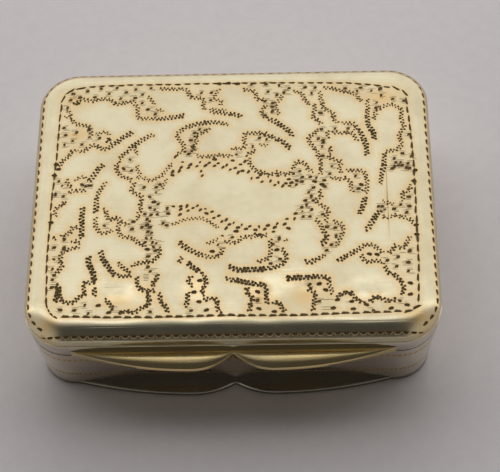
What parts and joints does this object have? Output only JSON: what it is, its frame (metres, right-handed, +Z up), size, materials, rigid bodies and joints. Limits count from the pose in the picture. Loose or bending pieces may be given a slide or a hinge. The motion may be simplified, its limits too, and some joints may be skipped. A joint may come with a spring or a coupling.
{
  "type": "silver vinaigrette",
  "caption": "Small hinged silver box with an engraved lid, a rolled rim and a lobed thumb lip, holding a sponge under a hinged pierced gilt grille.",
  "frame": {"origin": "middle of the body's plan, on the underside of the base plate", "axes": "+X to the right along the front, +Y to the back where the hinge is, +Z up through the lid"},
  "size_m": [0.033, 0.029, 0.0089],
  "materials": {
    "silver": "worn polished silver with dark tarnish in the engraving",
    "gilt": "soft polished gilding",
    "sponge": "dry porous sea sponge"
  },
  "bodies": {
    "body": {"base_plate": "silver", "body_wall": "silver", "body_bezel": "gilt", "grille_seat": "gilt", "sponge": "sponge", "body_knuckle_left": "silver", "body_knuckle_middle": "silver", "body_knuckle_right": "silver", "lid_hinge_pin": "silver", "grille_bracket_left": "gilt", "grille_bracket_right": "gilt", "grille_hinge_pin": "gilt"},
    "lid": {"lid_top": "silver", "lid_skirt": "silver", "thumb_lip": "silver", "lid_knuckle_left": "silver", "lid_knuckle_right": "silver"},
    "grille": {"grille_plate": "gilt", "grille_frame": "gilt", "grille_knuckle": "gilt", "grille_tab": "gilt"}
  },
  "joints": [
    {"name": "lid_hinge", "type": "hinge", "parent": "body", "child": "lid", "pos_m": [0, 0.01375, 0.00583], "axis": [-1, 0, 0], "range_deg": [0, 105]},
    {"name": "grille_hinge", "type": "hinge", "parent": "body", "child": "grille", "pos_m": [0, 0.01124, 0.00555], "axis": [-1, 0, 0], "range_deg": [0, 84]}
  ],
  "couplings": [
    {"joint": "grille_hinge", "follows": "lid_hinge", "ratio": 0.8}
  ]
}
